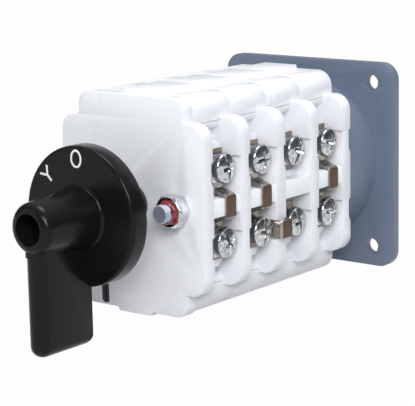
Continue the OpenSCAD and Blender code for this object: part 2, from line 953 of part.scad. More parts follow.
// Half section of the hub, as radius and distance behind the hub's end
module hub_section() {
    base_r = hub_base_d / 2;
    end_r = hub_end_d / 2;
    polygon([
        [0, hub_end_round],
        [end_r, hub_end_round],
        [base_r, hub_len - hub_fillet],
        [base_r, hub_len + disc_t / 2],
        [0, hub_len + disc_t / 2]
    ]);
    translate([base_r - overrun, hub_len - hub_fillet])
        difference() {
            square([hub_fillet + overrun, hub_fillet + disc_t / 2]);
            translate([hub_fillet + overrun, 0])
                circle(hub_fillet);
        }
    translate([end_r - hub_end_round, hub_end_round])
        intersection() {
            circle(hub_end_round);
            translate([0, -hub_end_round])
                square([hub_end_round, hub_end_round + overrun]);
        }
    square([end_r - hub_end_round, hub_end_round + overrun]);
}

// Half section of the disc, as radius and distance behind its front face
module disc_section() {
    disc_r = disc_d / 2;
    square([disc_r - disc_edge_r, disc_t]);
    translate([0, disc_edge_r])
        square([disc_r, disc_t - disc_edge_r]);
    translate([disc_r - disc_edge_r, disc_edge_r])
        circle(disc_edge_r);
}

module knob() {
    web_back_y = disc_back_y - socket_depth;
    color([0.12, 0.11, 0.1])
    difference() {
        union() {
            turned(disc_front_y)
                disc_section();
            turned(hub_end_y)
                hub_section();
            intersection() {
                side_prism(lever_t)
                    lever_side();
                translate([0, 0, -lever_reach - overrun])
                    linear_extrude(lever_reach + overrun)
                        lever_plan();
                prism(lever_front_y - overrun, lever_w + 2 * overrun)
                    lever_front();
            }
        }
        prism(web_back_y, socket_depth + overrun)
            square(spindle_af + 2 * seat_gap, center = true);
        prism(hub_end_y - overrun, web_back_y - web_t - hub_end_y + overrun)
            circle(d = hub_bore_d);
        prism(web_back_y - web_t - overrun, web_t + 2 * overrun)
            circle(knob_screw_d / 2 + seat_gap);
    }
}

module knob_screw() {
    seat_y = disc_back_y - socket_depth - web_t;
    color("gainsboro") {
        prism(seat_y - knob_screw_head_h, knob_screw_head_h)
            circle(knob_screw_head_r);
        prism(seat_y - overrun, knob_screw_len + overrun)
            circle(d = knob_screw_d);
    }
}

base_plate();
front_cover();
chamber(1);  // chamber_1
chamber(2);  // chamber_2
chamber(3);  // chamber_3
chamber(4);  // chamber_4
spindle();
knob();
knob_screw();
lock_finger();
index_wheel();
cam(1, false);  // cam_1
cam(2, false);  // cam_2
cam(3, false);  // cam_3
cam(4, true);  // cam_4
index_plunger_top();
index_plunger_bottom();
index_spring();  // index_spring_top
mirror([0, 0, 1]) index_spring();  // index_spring_bottom
lifter(1);  // lifter_1_top
mirror([0, 0, 1]) lifter(1);  // lifter_1_bottom
lifter(2);  // lifter_2_top
mirror([0, 0, 1]) lifter(2);  // lifter_2_bottom
lifter(3);  // lifter_3_top
mirror([0, 0, 1]) lifter(3);  // lifter_3_bottom
both_ends() lifter(4);  // lifters_4
bridge(1);  // bridge_1_top
mirror([0, 0, 1]) bridge(1);  // bridge_1_bottom
bridge(2);  // bridge_2_top
mirror([0, 0, 1]) bridge(2);  // bridge_2_bottom
bridge(3);  // bridge_3_top
mirror([0, 0, 1]) bridge(3);  // bridge_3_bottom
both_ends() bridge(4);  // bridges_4
contact_spring(1);  // spring_1_top
mirror([0, 0, 1]) contact_spring(1);  // spring_1_bottom
contact_spring(2);  // spring_2_top
mirror([0, 0, 1]) contact_spring(2);  // spring_2_bottom
contact_spring(3);  // spring_3_top
mirror([0, 0, 1]) contact_spring(3);  // spring_3_bottom
both_ends() contact_spring(4);  // springs_4
terminal_strips(1);  // terminal_strips_1
terminal_strips(2);  // terminal_strips_2
terminal_strips(3);  // terminal_strips_3
terminal_strips(4);  // terminal_strips_4
terminal_screws(1);  // terminal_screws_1
terminal_screws(2);  // terminal_screws_2
terminal_screws(3);  // terminal_screws_3
terminal_screws(4);  // terminal_screws_4
clamp_washers(1, washer_x);  // clamp_washers_1
clamp_washers(2, 0);  // clamp_washers_2
clamp_washers(3, strip_x);  // clamp_washers_3
clamp_washers(4, washer_x);  // clamp_washers_4
strap(1);  // strap_1
strap(2);  // strap_2
strap(4);  // strap_4
cross_strap();
tie_bolts();
tie_nuts();
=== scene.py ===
"""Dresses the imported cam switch: moulded housing, lever knob, terminals, straps and fasteners."""
import json
import math
import random

import bpy
from bpy.props import FloatProperty, FloatVectorProperty, PointerProperty
from mathutils import Matrix, Vector

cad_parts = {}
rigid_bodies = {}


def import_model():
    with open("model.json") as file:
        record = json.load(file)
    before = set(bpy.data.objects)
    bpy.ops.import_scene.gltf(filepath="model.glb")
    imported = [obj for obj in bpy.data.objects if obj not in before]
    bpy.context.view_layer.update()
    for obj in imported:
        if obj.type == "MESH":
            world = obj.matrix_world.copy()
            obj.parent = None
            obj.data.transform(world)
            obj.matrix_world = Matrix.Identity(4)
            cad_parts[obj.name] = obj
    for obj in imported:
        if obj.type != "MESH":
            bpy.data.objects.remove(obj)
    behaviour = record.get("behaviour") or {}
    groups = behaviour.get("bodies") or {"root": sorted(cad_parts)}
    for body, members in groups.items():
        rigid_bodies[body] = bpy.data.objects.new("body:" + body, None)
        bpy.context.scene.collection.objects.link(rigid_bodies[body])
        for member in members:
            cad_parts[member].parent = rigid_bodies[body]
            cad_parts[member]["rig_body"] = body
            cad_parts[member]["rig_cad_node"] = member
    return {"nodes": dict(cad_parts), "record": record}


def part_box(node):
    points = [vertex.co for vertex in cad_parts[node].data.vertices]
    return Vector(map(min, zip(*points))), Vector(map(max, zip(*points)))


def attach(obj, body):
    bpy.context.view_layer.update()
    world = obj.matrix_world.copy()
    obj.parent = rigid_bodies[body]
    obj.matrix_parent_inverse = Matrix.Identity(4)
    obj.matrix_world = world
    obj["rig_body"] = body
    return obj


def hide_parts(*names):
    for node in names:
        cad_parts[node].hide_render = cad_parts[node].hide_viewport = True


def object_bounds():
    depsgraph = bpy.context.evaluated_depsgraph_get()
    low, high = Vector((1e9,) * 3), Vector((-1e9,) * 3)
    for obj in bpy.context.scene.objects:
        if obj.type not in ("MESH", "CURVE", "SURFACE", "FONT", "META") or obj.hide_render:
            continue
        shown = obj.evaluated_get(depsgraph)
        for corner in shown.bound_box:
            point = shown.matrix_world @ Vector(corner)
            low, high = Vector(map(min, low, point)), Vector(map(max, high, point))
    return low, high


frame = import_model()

bl_info = {
    "name": "Star-Delta Cam Switch",
    "version": (1, 0, 0),
    "blender": (4, 5, 0),
    "location": "View3D > Sidebar > Cam Switch",
    "description": "Builds the visible pieces of a cam switch round its packed solids",
    "category": "Add Mesh",
}

MM = 0.001
cad_low, cad_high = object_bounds()
CHAMBERS = (1, 2, 3, 4)
STRAPPED_CHAMBERS = (1, 2, 4)


# Sizes and colours

class HousingSettings(bpy.types.PropertyGroup):
    edge: FloatProperty(
        name="Moulded edge", description="Radius on the housing's moulded edges",
        default=0.22 * MM, min=0, unit="LENGTH")
    white: FloatVectorProperty(
        name="White", description="Colour of the white thermoset", subtype="COLOR",
        default=(0.81, 0.825, 0.86))
    grey: FloatVectorProperty(
        name="Grey", description="Colour of the base plate", subtype="COLOR",
        default=(0.135, 0.170, 0.235))


class KnobSettings(bpy.types.PropertyGroup):
    black: FloatVectorProperty(
        name="Black", description="Colour of the knob", subtype="COLOR",
        default=(0.007, 0.006, 0.006))
    paint: FloatVectorProperty(
        name="Paint", description="Colour of the dial marks", subtype="COLOR",
        default=(0.86, 0.86, 0.86))
    lever_width: FloatProperty(
        name="Lever width", description="Width of the lever across its front",
        default=6.0 * MM, unit="LENGTH")
    lever_set_back: FloatProperty(
        name="Lever set-back", description="Distance of the lever's front behind the hub's end",
        default=0.7 * MM, unit="LENGTH")
    lever_round: FloatProperty(
        name="Lever rounding", description="Radius of the lever's front and lower edges",
        default=2.9 * MM, unit="LENGTH")
    lever_top: FloatProperty(
        name="Rounding's top", description="Height up to which the lever is rounded",
        default=-7.4 * MM, unit="LENGTH")
    mark_radius: FloatProperty(
        name="Mark radius", description="Distance of the zero from the spindle's axis",
        default=15.0 * MM, unit="LENGTH")
    mark_height: FloatProperty(
        name="Mark height", description="Height of the zero",
        default=4.8 * MM, unit="LENGTH")
    mark_width: FloatProperty(
        name="Mark width", description="Width of the zero",
        default=3.8 * MM, unit="LENGTH")
    letter_height: FloatProperty(
        name="Letter height", description="Height of the star and delta marks",
        default=3.5 * MM, unit="LENGTH")
    letter_radius: FloatProperty(
        name="Letter radius", description="Distance of the star and delta marks from the spindle's axis",
        default=14.4 * MM, unit="LENGTH")
    mark_stroke: FloatProperty(
        name="Mark stroke", description="Width of a painted stroke",
        default=0.6 * MM, unit="LENGTH")
    step: FloatProperty(
        name="Step", description="Angle between two switch positions",
        default=math.radians(45), subtype="ANGLE")


class MetalSettings(bpy.types.PropertyGroup):
    zinc: FloatVectorProperty(
        name="Zinc", description="Colour of the plated screws and nuts", subtype="COLOR",
        default=(0.78, 0.80, 0.82))
    # Painted shade for the terminal screws' recesses and the undersides of their heads.
    recess: FloatVectorProperty(
        name="Recess", description="Colour of the shaded recesses of the terminal screws", subtype="COLOR",
        default=(0.24, 0.25, 0.26))
    strap: FloatVectorProperty(
        name="Strap", description="Colour of the linking straps", subtype="COLOR",
        default=(0.42, 0.39, 0.35))
    strap_face: FloatVectorProperty(
        name="Strap face", description="Colour of the straps' browned outer faces", subtype="COLOR",
        default=(0.11, 0.066, 0.048))
    head: FloatProperty(
        name="Screw head", description="Diameter of a terminal screw's head",
        default=8.0 * MM, unit="LENGTH")
    head_height: FloatProperty(
        name="Head height", description="Height of a terminal screw's head",
        default=2.9 * MM, unit="LENGTH")
    bolt: FloatProperty(
        name="Tie bolt", description="Diameter of a tie bolt",
        default=5.0 * MM, unit="LENGTH")
    nut: FloatProperty(
        name="Tie nut", description="Width of a tie nut across its flats",
        default=8.0 * MM, unit="LENGTH")
    lacquer: FloatVectorProperty(
        name="Lacquer", description="Colour of the locking lacquer on the tie nuts", subtype="COLOR",
        default=(0.16, 0.006, 0.012))
    edge: FloatProperty(
        name="Metal edge", description="Radius on the edges of stamped metal",
        default=0.15 * MM, min=0, unit="LENGTH")


class StageSettings(bpy.types.PropertyGroup):
    lens: FloatProperty(
        name="Lens", description="Focal length of the camera, in millimetres", default=148.7)
    camera: FloatVectorProperty(
        name="Camera", description="Place of the camera", subtype="TRANSLATION",
        default=(0.29061, -0.41840, 0.08957))
    yaw: FloatProperty(
        name="Yaw", description="Camera's turn to the left of the spindle", subtype="ANGLE",
        default=math.radians(38.414))
    pitch: FloatProperty(
        name="Pitch", description="Camera's downward tilt", subtype="ANGLE",
        default=math.radians(11.475))
    roll: FloatProperty(
        name="Roll", description="Camera's roll", subtype="ANGLE",
        default=math.radians(-1.166))


# Shader maths

class Wire:
    """A socket of a shader graph that takes part in Python arithmetic."""

    def __init__(self, graph, socket):
        self.graph = graph
        self.socket = socket

    def _maths(self, operation, first, second=None):
        values = {0: first} if second is None else {0: first, 1: second}
        return self.graph.add("ShaderNodeMath", {"operation": operation}, values)["Value"]

    def __add__(self, other):
        return self._maths("ADD", self, other)

    def __sub__(self, other):
        return self._maths("SUBTRACT", self, other)

    def __mul__(self, other):
        return self._maths("MULTIPLY", self, other)


class Node:
    """A shader node whose outputs are read by name."""

    def __init__(self, graph, node):
        self.graph = graph
        self.node = node

    def __getitem__(self, name):
        return Wire(self.graph, self.node.outputs[name])


class Graph:
    """A material and the nodes that make it."""

    def __init__(self, name, tree=None):
        if tree is None:
            self.material = bpy.data.materials.new(name)
            self.material.use_nodes = True
            tree = self.material.node_tree
        self.tree = tree
        self.tree.nodes.clear()

    def add(self, kind, settings=None, values=None):
        """Makes a node: its settings first, then the values or links of its sockets."""
        node = self.tree.nodes.new(kind)
        for name, value in (settings or {}).items():
            if name == "stops":
                self._set_stops(node.color_ramp, value)
            else:
                setattr(node, name, value)
        for name, value in (values or {}).items():
            socket = node.inputs[name]
            if isinstance(value, Wire):
                self.tree.links.new(value.socket, socket)
            elif isinstance(value, Node):
                self.tree.links.new(value.node.outputs[0], socket)
            else:
                socket.default_value = value
        return Node(self, node)

    @staticmethod
    def _set_stops(ramp, stops):
        while len(ramp.elements) > len(stops):
            ramp.elements.remove(ramp.elements[-1])
        while len(ramp.elements) < len(stops):
            ramp.elements.new(1)
        for element, (position, colour) in zip(ramp.elements, stops):
            element.position = position
            element.color = (*colour, 1)

    def place(self, stretch=(1, 1, 1)):
        """Object coordinates, stretched along the axes."""
        coordinates = self.add("ShaderNodeTexCoord")
        values = {"Vector": coordinates["Object"], "Scale": stretch}
        return self.add("ShaderNodeMapping", None, values)["Vector"]

    def noise(self, feature, detail=3, stretch=(1, 1, 1), roughness=0.5):
        """Noise from 0 to 1 whose blotches are about the feature's size, in metres."""
        values = {
            "Vector": self.place(stretch), "Scale": 1 / feature, "Detail": detail, "Roughness": roughness}
        return self.add("ShaderNodeTexNoise", None, values)["Fac"]

    def ramp(self, factor, *stops):
        return self.add("ShaderNodeValToRGB", {"stops": stops}, {"Fac": factor})["Color"]

    def grey(self, factor, low, high):
        """Maps a factor from 0 to 1 on to a number from low to high."""
        return factor * (high - low) + low

    def mix(self, factor, first, second):
        """Blends two colours; sockets 6, 7 and the output 2 are the node's colour ones."""
        values = {"Factor": factor, 6: first, 7: second}
        node = self.add("ShaderNodeMix", {"data_type": "RGBA"}, values)
        return Wire(self, node.node.outputs[2])

    def bump(self, height, depth, strength=1):
        values = {"Height": height, "Distance": depth, "Strength": strength}
        return self.add("ShaderNodeBump", None, values)["Normal"]

    def finish(self, **sockets):
        """Adds the principled shader; an underscore in a socket's name stands for a space."""
        values = {name.replace("_", " "): value for name, value in sockets.items()}
        shader = self.add("ShaderNodeBsdfPrincipled", None, values)
        self.add("ShaderNodeOutputMaterial", None, {"Surface": shader["BSDF"]})
        return self.material


def shade(colour, factor):
    return tuple(channel * factor for channel in colour)


def opaque(colour):
    return (*colour, 1)


def moulded_plastic(name, colour, roughness, grain, spread=0.05, shine=0.5):
    """Moulded plastic: faint cloudy tone, orange-peel gloss and a fine tool texture."""
    graph = Graph(name)
    clouds = graph.noise(9 * MM, 4)
    specks = graph.noise(0.35 * MM, 2)
    tone = graph.mix(clouds, opaque(shade(colour, 1 - spread)), opaque(shade(colour, 1 + spread)))
    dusty = graph.ramp(specks, (0.62, (0, 0, 0)), (0.78, (1, 1, 1)))
    speckled = graph.mix(Wire(graph, dusty.socket) * 0.12, tone, opaque(shade(colour, 0.72)))
    gloss = graph.grey(clouds, roughness - 0.06, roughness + 0.08)
    peel = graph.noise(1.6 * MM, 3) * 0.6 + specks * 0.4
    return graph.finish(
        Base_Color=speckled, Roughness=gloss, Normal=graph.bump(peel, grain), IOR=1.5,
        Specular_IOR_Level=shine)


def plated_metal(name, colour, roughness, brushed=(1, 1, 1), scratch=0.02 * MM, tarnish=0.25, metallic=1.0):
    """Plated metal: cloudy tarnish, brushed streaks and fine scratches."""
    graph = Graph(name)
    clouds = graph.noise(2.5 * MM, 4)
    streaks = graph.noise(0.25 * MM, 3, brushed)
    tone = graph.mix(
        graph.ramp(clouds, (0.35, (0, 0, 0)), (0.75, (1, 1, 1))),
        opaque(colour), opaque(shade(colour, 1 - tarnish)))
    gloss = graph.grey(streaks, roughness * 0.6, roughness * 1.5)
    return graph.finish(
        Base_Color=tone, Metallic=metallic, Roughness=gloss, Normal=graph.bump(streaks, scratch, 0.6))


def bent_strap(name, colour, face_colour, face_x):
    """Nickel-plated strap, browned on the outer face that lies beyond face_x."""
    graph = Graph(name)
    clouds = graph.noise(1.8 * MM, 4)
    streaks = graph.noise(0.22 * MM, 3, (1, 1, 9))
    height = graph.add("ShaderNodeSeparateXYZ", None, {"Vector": graph.place()})["X"]
    outer = graph.ramp((height - face_x) * (1 / MM) + 0.5, (0.42, (0, 0, 0)), (0.58, (1, 1, 1)))
    plating = graph.mix(clouds, opaque(shade(colour, 0.62)), opaque(shade(colour, 1.3)))
    browned = graph.mix(streaks, opaque(shade(face_colour, 0.8)), opaque(shade(face_colour, 1.2)))
    mask = Wire(graph, outer.socket)
    return graph.finish(
        Base_Color=graph.mix(mask, plating, browned), Metallic=graph.grey(mask, 1.0, 0.55),
        Roughness=graph.grey(streaks, 0.16, 0.34) + mask * 0.18,
        Normal=graph.bump(streaks, 0.01 * MM, 0.5))


def screw_plating_and_shade(name, colour, painted_shade_colour, rim_x):
    """Bright plating on the domes, with painted shade in the recesses and under the rims that lie nearer
    than rim_x.
    """
    graph = Graph(name)
    smears = graph.noise(1.1 * MM, 5, (1, 1, 1), 0.6)
    streaks = graph.noise(0.2 * MM, 2)
    across = graph.add("ShaderNodeSeparateXYZ", None, {"Vector": graph.place()})["X"]
    reach = graph.add("ShaderNodeMath", {"operation": "ABSOLUTE"}, {0: across})["Value"]
    # Painted shade: points nearer than rim_x, in the recesses and under the heads' rims, take the dark
    # shade colour.
    clear_of_painted_shade = graph.ramp((reach - rim_x) * (1 / MM) + 0.5, (0.1, (0, 0, 0)), (0.45, (1, 1, 1)))
    smeared = graph.ramp(smears, (0.42, (1, 1, 1)), (0.66, (0, 0, 0)))
    plating = graph.mix(Wire(graph, smeared.socket), opaque(shade(colour, 0.4)), opaque(shade(colour, 0.8)))
    tone = graph.mix(Wire(graph, clear_of_painted_shade.socket), opaque(painted_shade_colour), plating)
    return graph.finish(
        Base_Color=tone, Metallic=1.0, Roughness=graph.grey(streaks, 0.05, 0.16),
        Normal=graph.bump(smears, 0.02 * MM, 0.6))


def locking_lacquer(name, colour):
    """Thick glossy lacquer, thinner and lighter in places."""
    graph = Graph(name)
    clouds = graph.noise(1.2 * MM, 4)
    tone = graph.mix(clouds, opaque(shade(colour, 0.35)), opaque(shade(colour, 1.9)))
    return graph.finish(
        Base_Color=tone, Roughness=graph.grey(clouds, 0.12, 0.35),
        Normal=graph.bump(graph.noise(0.7 * MM, 3), 0.12 * MM), Coat_Weight=0.6)


def dial_paint(name, colour):
    """Pad-printed paint with a slightly uneven edge of tone."""
    graph = Graph(name)
    clouds = graph.noise(0.6 * MM, 3)
    tone = graph.mix(clouds, opaque(shade(colour, 0.86)), opaque(colour))
    return graph.finish(Base_Color=tone, Roughness=graph.grey(clouds, 0.4, 0.6),
                        Normal=graph.bump(clouds, 0.01 * MM))


MATERIALS = {}


def material(name):
    """The named finish, made the first time that it is asked for."""
    if name not in MATERIALS:
        scene = bpy.context.scene
        housing = scene.cam_switch_housing
        knob = scene.cam_switch_knob
        metal = scene.cam_switch_metal
        makers = {
            "white_plastic": lambda: moulded_plastic(name, housing.white, 0.28, 0.02 * MM, 0.025),
            "grey_plastic": lambda: moulded_plastic(name, housing.grey, 0.36, 0.02 * MM, 0.06),
            "black_plastic": lambda: moulded_plastic(name, knob.black, 0.2, 0.015 * MM, 0.2, 0.16),
            "cream_plastic": lambda: moulded_plastic(name, (0.72, 0.62, 0.42), 0.45, 0.03 * MM),
            "dark_plastic": lambda: moulded_plastic(name, (0.05, 0.055, 0.06), 0.5, 0.03 * MM),
            "zinc_screw": lambda: plated_metal(name, metal.zinc, 0.10, (1, 1, 1), 0.008 * MM, 0.45),
            # Terminal screws: plating with painted shade in the recesses and under the rims.
            "screw_plating_and_shade": lambda: screw_plating_and_shade(
                name, metal.zinc, metal.recess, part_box("terminal_screws_1")[1].x - 1.0 * MM),
            "zinc_washer": lambda: plated_metal(name, metal.zinc, 0.28, (1, 6, 1)),
            "nickel_strap": lambda: bent_strap(
                name, metal.strap, metal.strap_face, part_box("strap_1")[1].x - 0.3 * MM),
            "nickel_cross_strap": lambda: bent_strap(
                name, metal.strap, metal.strap_face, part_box("cross_strap")[1].x - 0.3 * MM),
            "brass": lambda: plated_metal(name, (0.34, 0.28, 0.22), 0.3, (1, 8, 1)),
            "steel": lambda: plated_metal(name, (0.50, 0.52, 0.57), 0.3, (1, 1, 1), 0.03 * MM),
            "dull_zinc": lambda: plated_metal(
                name, (0.42, 0.47, 0.56), 0.45, (1, 1, 1), 0.04 * MM, 0.3, 0.55),
            "spring_steel": lambda: plated_metal(name, (0.45, 0.45, 0.47), 0.3),
            "red_lacquer": lambda: locking_lacquer(name, metal.lacquer),
            "dial_paint": lambda: dial_paint(name, knob.paint),
        }
        MATERIALS[name] = makers[name]()
    return MATERIALS[name]


# Modelling helpers

def deselect():
    if bpy.context.mode != "OBJECT":
        bpy.ops.object.mode_set(mode="OBJECT")
    bpy.ops.object.select_all(action="DESELECT")


def take(piece):
    """Makes one object the only selected one, and the active one."""
    deselect()
    piece.select_set(True)
    bpy.context.view_layer.objects.active = piece


def named(name):
    """The object that an operator has just made, under its own name."""
    piece = bpy.context.active_object
    piece.name = name
    piece.data.name = name
    return piece


def start_point(name, place):
    """A mesh of one vertex in edit mode, selected: the start of a profile."""
    deselect()
    bpy.ops.mesh.primitive_plane_add(size=1 * MM, location=(0, 0, 0))
    piece = named(name)
    bpy.ops.object.mode_set(mode="EDIT")
    bpy.ops.mesh.select_all(action="SELECT")
    bpy.ops.mesh.merge(type="CENTER")
    bpy.ops.transform.translate(value=place)
    return piece


def draw_line(points):
    """Extrudes the selected vertex through the points, from the first to the last."""
    for here, there in zip(points, points[1:]):
        step = tuple(b - a for a, b in zip(here, there))
        bpy.ops.mesh.extrude_region_move(TRANSFORM_OT_translate={"value": step})


def tidy_mesh(distance=0.001 * MM):
    bpy.ops.mesh.select_all(action="SELECT")
    bpy.ops.mesh.remove_doubles(threshold=distance)
    bpy.ops.mesh.normals_make_consistent(inside=False)
    bpy.ops.object.mode_set(mode="OBJECT")


def lathe(name, profile, steps=64):
    """Spins a profile of (radius, y) about the Y axis. Its ends stand on the axis, or it is closed."""
    points = [(radius, y, 0) for radius, y in profile]
    piece = start_point(name, points[0])
    draw_line(points)
    bpy.ops.mesh.select_all(action="SELECT")
    bpy.ops.mesh.spin(steps=steps, angle=2 * math.pi, center=(0, 0, 0), axis=(0, 1, 0))
    tidy_mesh()
    return piece


def slab(name, outline, depth):
    """Fills a closed outline of points and extrudes it by depth, a vector."""
    piece = start_point(name, outline[0])
    draw_line(outline)
    bpy.ops.mesh.select_all(action="SELECT")
    bpy.ops.mesh.edge_face_add()
    bpy.ops.mesh.select_all(action="SELECT")
    bpy.ops.mesh.extrude_region_move(TRANSFORM_OT_translate={"value": depth})
    tidy_mesh()
    return piece


def apply_modifier(piece, kind, **settings):
    take(piece)
    bpy.ops.object.modifier_add(type=kind)
    modifier = piece.modifiers[-1]
    for name, value in settings.items():
        setattr(modifier, name, value)
    bpy.ops.object.modifier_apply(modifier=modifier.name)


def combine(piece, other, operation):
    """Joins or cuts with another piece, which is used up."""
    apply_modifier(piece, "BOOLEAN", operation=operation, object=other, solver="EXACT")
    bpy.data.objects.remove(other)


def soften(piece, width, segments=2, angle=30):
    """Rounds the edges sharper than the angle."""
    apply_modifier(
        piece, "BEVEL", width=width, segments=segments, limit_method="ANGLE",
        angle_limit=math.radians(angle), use_clamp_overlap=True, miter_outer="MITER_ARC")


def copy_of(piece, name):
    """A copy with its own mesh."""
    take(piece)
    bpy.ops.object.duplicate(linked=False)
    return named(name)


def join(pieces, name):
    deselect()
    for piece in pieces:
        piece.select_set(True)
    bpy.context.view_layer.objects.active = pieces[0]
    bpy.ops.object.join()
    return named(name)


def move_mesh(piece, matrix):
    """Moves the mesh and leaves the object at the origin."""
    piece.data.transform(matrix)
    piece.data.update()


def from_node(node, name):
    """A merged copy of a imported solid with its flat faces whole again."""
    source = frame["nodes"][node]
    deselect()
    source.select_set(True)
    bpy.context.view_layer.objects.active = source
    bpy.ops.object.duplicate(linked=False)
    piece = named(name)
    piece.parent = None
    piece.matrix_world = Matrix.Identity(4)
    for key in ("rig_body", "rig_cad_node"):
        if key in piece:
            del piece[key]
    piece.data.materials.clear()
    take(piece)
    bpy.ops.object.mode_set(mode="EDIT")
    bpy.ops.mesh.select_all(action="SELECT")
    bpy.ops.mesh.customdata_custom_splitnormals_clear()
    bpy.ops.mesh.remove_doubles(threshold=0.002 * MM)
    bpy.ops.mesh.dissolve_limited(angle_limit=math.radians(0.5))
    bpy.ops.object.mode_set(mode="OBJECT")
    return piece


def finish_piece(piece, body, nodes, slot_name, finish=None, angle=35):
    """Smooths, dresses and hands over a finished piece."""
    take(piece)
    bpy.ops.object.transform_apply(location=True, rotation=True, scale=True)
    bpy.ops.object.shade_smooth_by_angle(angle=math.radians(angle))
    piece.data.materials.clear()
    piece.data.materials.append(material(finish or slot_name))
    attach(piece, body)
    if nodes:
        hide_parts(*nodes)
    return piece


def dress_node(node, finish):
    """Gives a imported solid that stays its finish."""
    solid = frame["nodes"][node]
    solid.data.materials.clear()
    solid.data.materials.append(material(finish))


# Operators, one for each piece or group of like pieces

class Stage(bpy.types.Operator):
    """Adds the floor, the lamps, the world and the camera"""
    bl_idname = "cam_switch.stage"
    bl_label = "Stage"

    def execute(self, context):
        self.add_floor()
        self.add_world(context)
        self.add_lamps()
        self.add_camera(context)
        context.scene.view_settings.view_transform = "Standard"
        return {"FINISHED"}

    def add_floor(self):
        floor_size = 6
        floor_gap = 0.2 * MM
        glow_share = 0.98
        deselect()
        bpy.ops.mesh.primitive_plane_add(size=floor_size, location=(0, 0, cad_low.z - floor_gap))
        floor = named("floor")
        bpy.ops.object.mode_set(mode="EDIT")
        bpy.ops.mesh.subdivide(number_cuts=3)
        bpy.ops.object.mode_set(mode="OBJECT")
        take(floor)
        bpy.ops.object.transform_apply(location=True, rotation=True, scale=True)
        graph = Graph("pale_floor")
        path = graph.add("ShaderNodeLightPath")
        seen = graph.add(
            "ShaderNodeMath", {"operation": "MAXIMUM"},
            {0: path["Is Camera Ray"], 1: path["Is Glossy Ray"]})["Value"]
        matte = graph.add("ShaderNodeBsdfDiffuse", None, {"Color": (0.46, 0.46, 0.47, 1)})
        glow = graph.add("ShaderNodeEmission", None, {"Color": (1, 1, 1, 1), "Strength": 1.0})
        blend = graph.add(
            "ShaderNodeMixShader", None, {0: seen * glow_share, 1: matte["BSDF"], 2: glow["Emission"]})
        graph.add("ShaderNodeOutputMaterial", None, {"Surface": blend["Shader"]})
        floor.data.materials.append(graph.material)

    def add_world(self, context):
        world = bpy.data.worlds.new("studio")
        context.scene.world = world
        world.use_nodes = True
        graph = Graph("studio", world.node_tree)
        path = graph.add("ShaderNodeLightPath")
        seen = graph.add(
            "ShaderNodeMath", {"operation": "MAXIMUM"},
            {0: path["Is Camera Ray"], 1: path["Is Transmission Ray"]})["Value"]
        direction = graph.add("ShaderNodeTexCoord")["Generated"]
        height = graph.add("ShaderNodeSeparateXYZ", None, {"Vector": direction})["Z"]
        at_horizon = (0.0, (0.24, 0.24, 0.26))
        dark_band = (0.25, (0.10, 0.10, 0.11))
        overhead = (0.8, (0.62, 0.64, 0.66))
        sky = graph.ramp(height, at_horizon, dark_band, overhead)
        plain = graph.add("ShaderNodeBackground", None, {"Color": Wire(graph, sky.socket), "Strength": 1.0})
        white = graph.add("ShaderNodeBackground", None, {"Color": (1, 1, 1, 1), "Strength": 1.0})
        blend = graph.add(
            "ShaderNodeMixShader", None, {0: seen, 1: plain["Background"], 2: white["Background"]})
        graph.add("ShaderNodeOutputWorld", None, {"Surface": blend["Shader"]})

    def add_lamps(self):
        """Square lamps, each with its place in metres, side in metres and power in watts."""
        target = (cad_low + cad_high) / 2
        lamps = (
            ("key_lamp", (0.76, -0.86, 0.58), 0.5, 10.7),
            ("spark_lamp", (0.40, -0.95, 0.66), 0.06, 0.9),
            ("top_lamp", (0.05, 0.05, 1.1), 0.6, 7.4),
            ("left_lamp", (-0.7, -1.0, 0.35), 0.7, 1.3),
        )
        for name, place, size, power in lamps:
            deselect()
            bpy.ops.object.light_add(type="AREA", location=place)
            lamp = bpy.context.active_object
            lamp.name = name
            lamp.data.shape = "SQUARE"
            lamp.data.size = size
            lamp.data.energy = power
            lamp.rotation_mode = "QUATERNION"
            lamp.rotation_quaternion = (target - Vector(place)).to_track_quat("-Z", "Y")

    def add_camera(self, context):
        stage = context.scene.cam_switch_stage
        deselect()
        bpy.ops.object.camera_add(location=stage.camera)
        camera = bpy.context.active_object
        camera.name = "photo_camera"
        camera.data.sensor_fit = "HORIZONTAL"
        camera.data.sensor_width = 36
        camera.data.lens = stage.lens
        camera.data.clip_start = 0.01
        camera.data.clip_end = 20
        ahead = Vector((
            -math.sin(stage.yaw) * math.cos(stage.pitch),
            math.cos(stage.yaw) * math.cos(stage.pitch),
            -math.sin(stage.pitch)))
        level = Vector((math.cos(stage.yaw), math.sin(stage.yaw), 0))
        upright = level.cross(ahead)
        right = level * math.cos(stage.roll) + upright * math.sin(stage.roll)
        up = upright * math.cos(stage.roll) - level * math.sin(stage.roll)
        turn = Matrix((right, up, -ahead)).transposed()
        camera.rotation_mode = "QUATERNION"
        camera.rotation_quaternion = turn.to_quaternion()
        context.scene.camera = camera


class Housing(bpy.types.Operator):
    """Models the front cover and the four chambers with softly moulded edges"""
    bl_idname = "cam_switch.housing"
    bl_label = "Housing"

    def execute(self, context):
        edge = context.scene.cam_switch_housing.edge
        nodes = ["front_cover"] + [f"chamber_{number}" for number in CHAMBERS]
        for node in nodes:
            piece = from_node(node, f"{node}_moulding")
            soften(piece, edge, 2, 40)
            finish_piece(piece, "housing", [node], "white_plastic")
        return {"FINISHED"}


class BasePlate(bpy.types.Operator):
    """Models the grey base plate with its indexing housing"""
    bl_idname = "cam_switch.base_plate"
    bl_label = "Base plate"

    def execute(self, context):
        edge = context.scene.cam_switch_housing.edge
        piece = from_node("base_plate", "base_plate_moulding")
        soften(piece, edge, 3, 40)
        finish_piece(piece, "housing", ["base_plate"], "grey_plastic")
        return {"FINISHED"}


